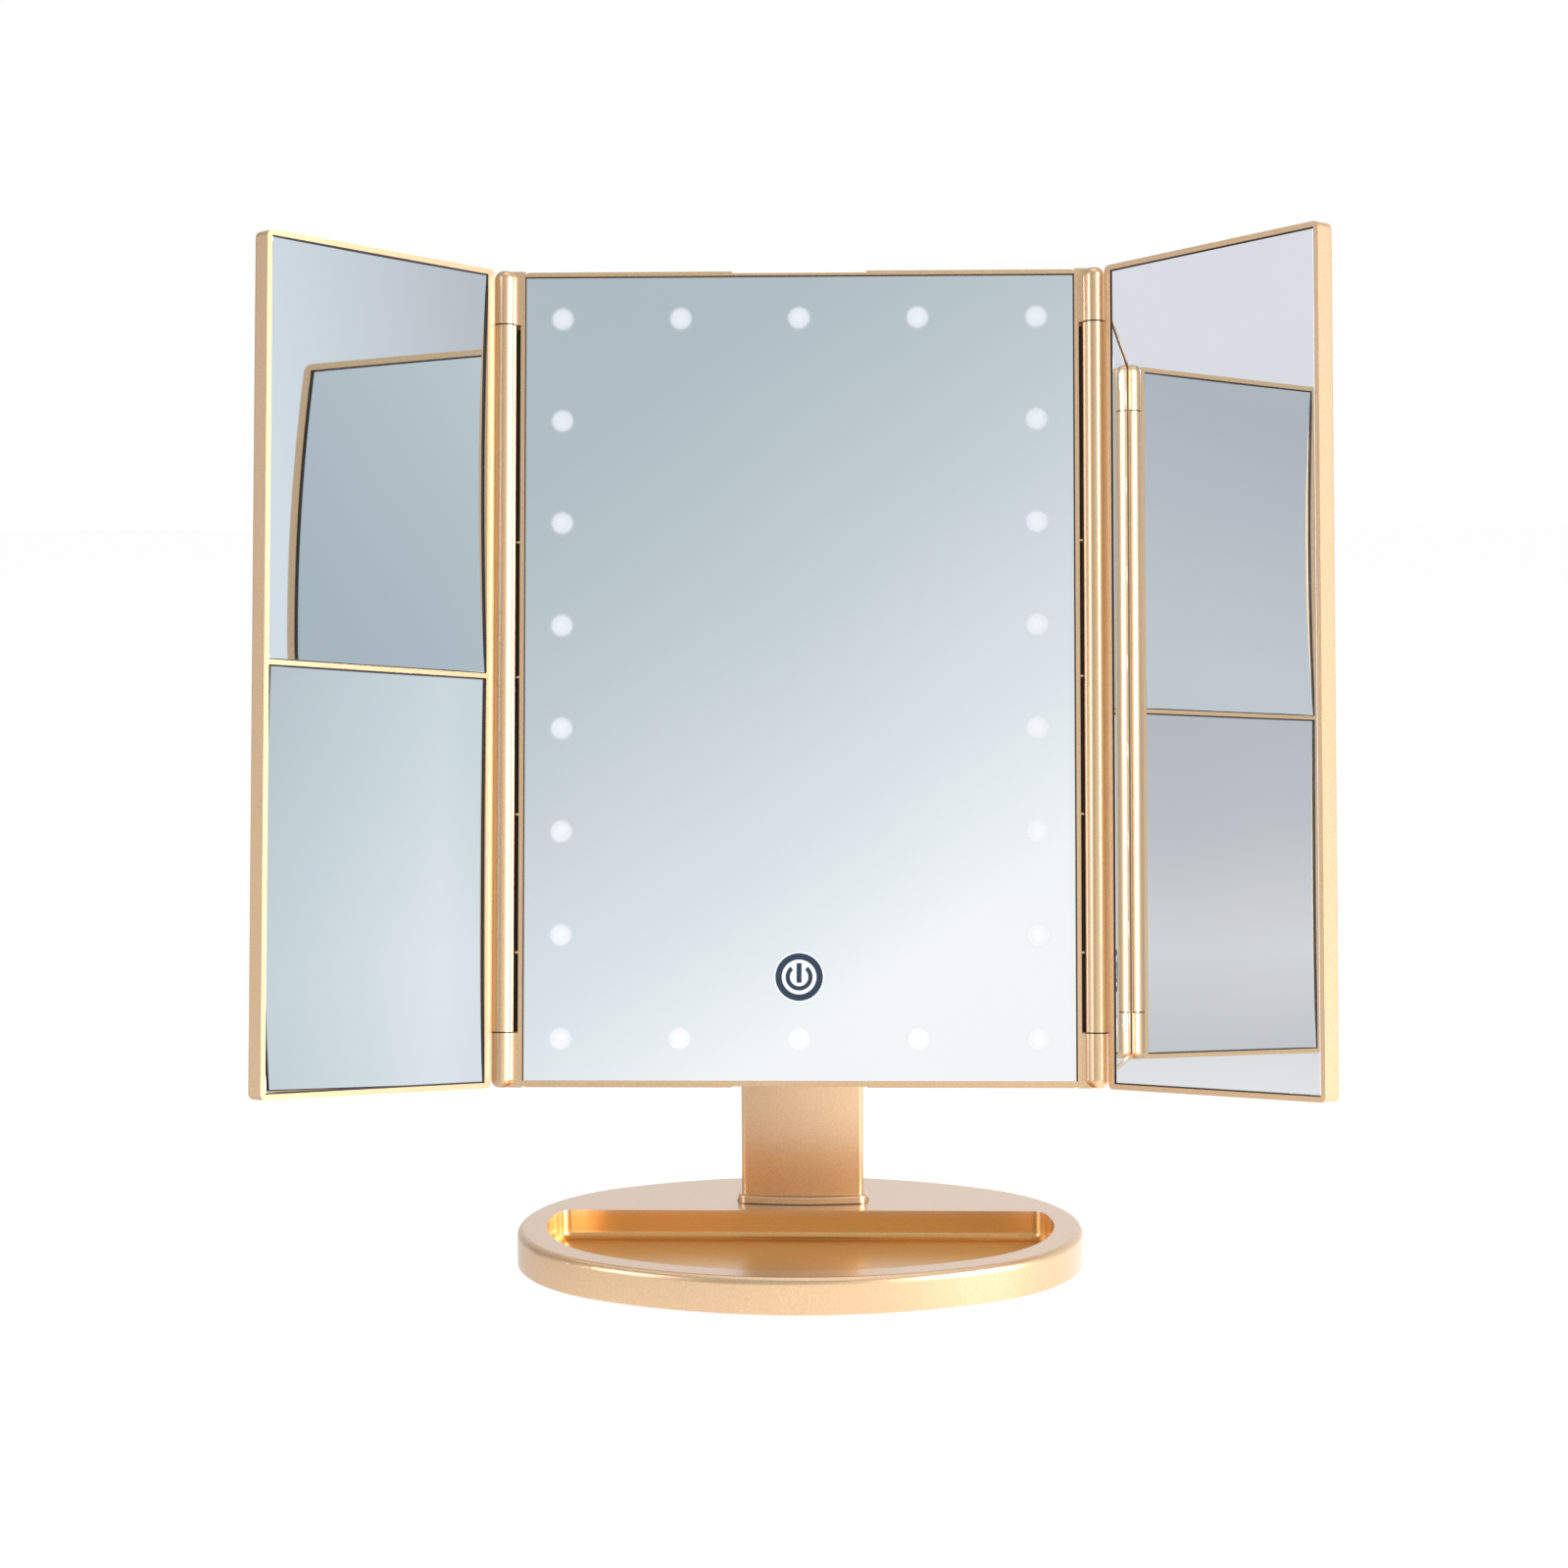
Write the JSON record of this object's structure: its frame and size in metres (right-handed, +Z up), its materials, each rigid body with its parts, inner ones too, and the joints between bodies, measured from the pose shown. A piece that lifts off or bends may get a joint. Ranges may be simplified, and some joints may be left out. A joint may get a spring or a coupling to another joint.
{
  "type": "led makeup mirror",
  "caption": "Tri-fold lighted makeup mirror: a centre glass ringed with light windows and two folding wings, tilting on a stem over an oval tray base.",
  "frame": {"origin": "under the middle of the oval base, on the table", "axes": "+Z up, +X to the right of a person looking into the mirror, +Y away from that person"},
  "size_m": [0.2873, 0.123, 0.2887],
  "materials": {
    "gold_paint": "satin metallic gold paint with a fine flake",
    "mirror_glass": "polished silvered glass",
    "frosted_glass": "frosted, lit from behind",
    "white_plastic": "matte white",
    "circuit_board": "green solder mask",
    "led_lens": "clear over a pale yellow chip",
    "steel": "zinc plated",
    "nickel_contact": "nickel plated",
    "cell_jacket": "plain wrapped can",
    "black_plastic": "moulded, fine grain",
    "soft_pad": "matte non-slip foam rubber"
  },
  "bodies": {
    "stand": {"base_shell": "gold_paint", "base_bottom_plate": "steel", "base_pad": "soft_pad", "base_ballast": "steel", "base_screws": "steel", "stem": "gold_paint", "stem_screws": "steel"},
    "head": {"front_frame": "gold_paint", "back_cover": "gold_paint", "main_mirror": "mirror_glass", "light_windows": "frosted_glass", "diffuser_film": "white_plastic", "led_board": "circuit_board", "led_chips": "led_lens", "touch_sensor": "circuit_board", "battery_cells": "cell_jacket", "battery_contacts": "nickel_contact", "switch_body": "black_plastic", "control_board": "circuit_board", "board_standoffs": "white_plastic", "usb_socket": "steel", "housing_screws": "steel", "tilt_axle": "steel", "friction_washers": "white_plastic", "left_hinge_pins": "steel", "right_hinge_pins": "steel"},
    "left_wing": {"left_wing_frame": "gold_paint", "left_wing_cover": "gold_paint", "left_upper_mirror": "mirror_glass", "left_lower_mirror": "mirror_glass"},
    "right_wing": {"right_wing_frame": "gold_paint", "right_wing_cover": "gold_paint", "right_mirror": "mirror_glass"},
    "battery_door": {"battery_door": "gold_paint"},
    "power_switch": {"switch_slider": "black_plastic"}
  },
  "joints": [
    {"name": "mirror_tilt", "type": "hinge", "parent": "stand", "child": "head", "pos_m": [0, 0.0279, 0.1627], "axis": [-1, 0, 0], "range_deg": [-8.65, 171.35]},
    {"name": "left_wing_fold", "type": "hinge", "parent": "head", "child": "left_wing", "pos_m": [-0.08365, 0.01347, 0.1649], "axis": [0, 0.1504, 0.9886], "range_deg": [-47.6, 132.4]},
    {"name": "right_wing_fold", "type": "hinge", "parent": "head", "child": "right_wing", "pos_m": [0.08365, 0.01347, 0.1649], "axis": [0, -0.1504, -0.9886], "range_deg": [-48.7, 131.3]},
    {"name": "power_switch_slide", "type": "slide", "parent": "head", "child": "power_switch", "axis": [0, 0.1504, 0.9886], "range_m": [-0.004, 0]},
    {"name": "battery_door_lift", "type": "slide", "parent": "head", "child": "battery_door", "axis": [0, 0.9886, -0.1504], "range_m": [0, 0.03]}
  ]
}
